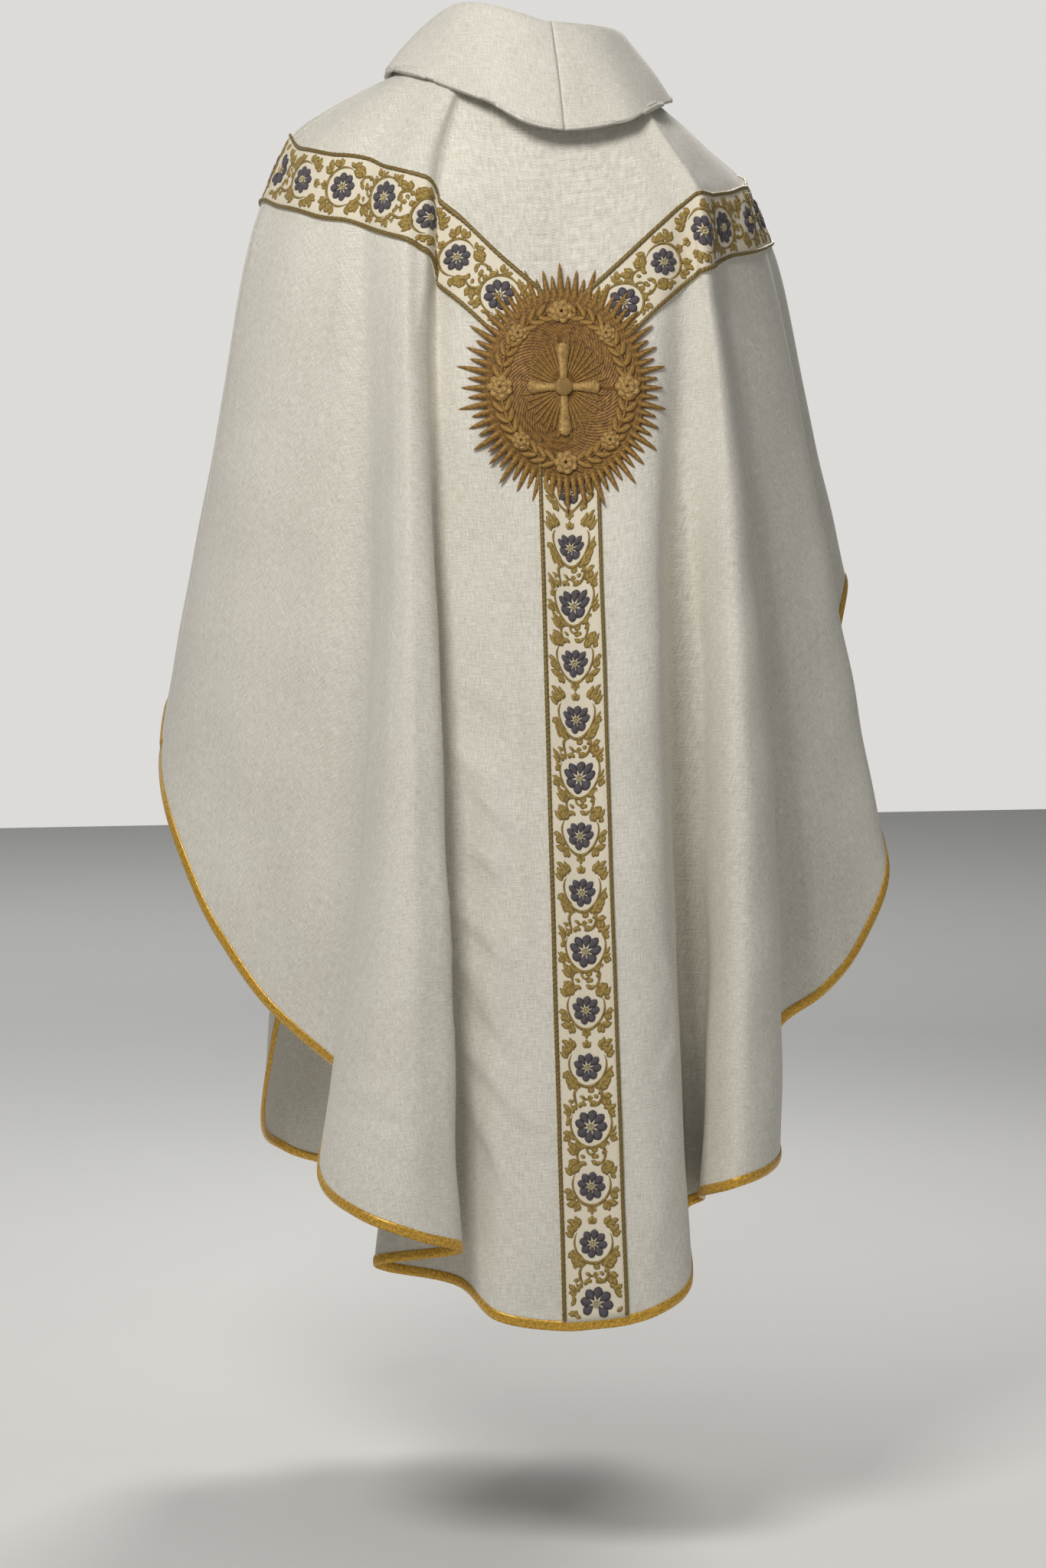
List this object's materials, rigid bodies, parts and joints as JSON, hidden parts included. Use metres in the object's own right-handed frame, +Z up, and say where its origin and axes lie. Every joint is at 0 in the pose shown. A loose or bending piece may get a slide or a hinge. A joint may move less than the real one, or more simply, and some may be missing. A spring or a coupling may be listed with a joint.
{
  "type": "chasuble",
  "caption": "Full cream chasuble in its worn pose, a hollow cloak open at neck and hem, with a rolled collar, Y shaped embroidered bands, an applied gold medallion and a gold bound hem.",
  "frame": {"origin": "centre of the neck seam, at the base of the wearer's neck, where neck and shoulders hold the garment", "axes": "+Z up the wearer's neck, -Y towards the front of the garment, +X towards the wearer's left"},
  "size_m": [0.7629, 0.7496, 1.3428],
  "materials": {
    "cloth": "matt cream linen weave",
    "collar_cloth": "matt cream linen weave, stiffened",
    "band_cloth": "embroidered cream band in olive gold and dark violet grey",
    "gold_binding": "satin gold binding",
    "gold_thread": "raised bronze gold embroidery"
  },
  "bodies": {
    "root": {"back_panel": "cloth", "front_panel": "cloth", "collar_left": "collar_cloth", "collar_right": "collar_cloth", "back_band_left": "band_cloth", "back_band_right": "band_cloth", "back_band_stem": "band_cloth", "front_band_left": "band_cloth", "front_band_right": "band_cloth", "front_band_stem": "band_cloth", "back_hem_binding": "gold_binding", "front_hem_binding": "gold_binding", "back_medallion": "gold_thread"}
  },
  "joints": []
}
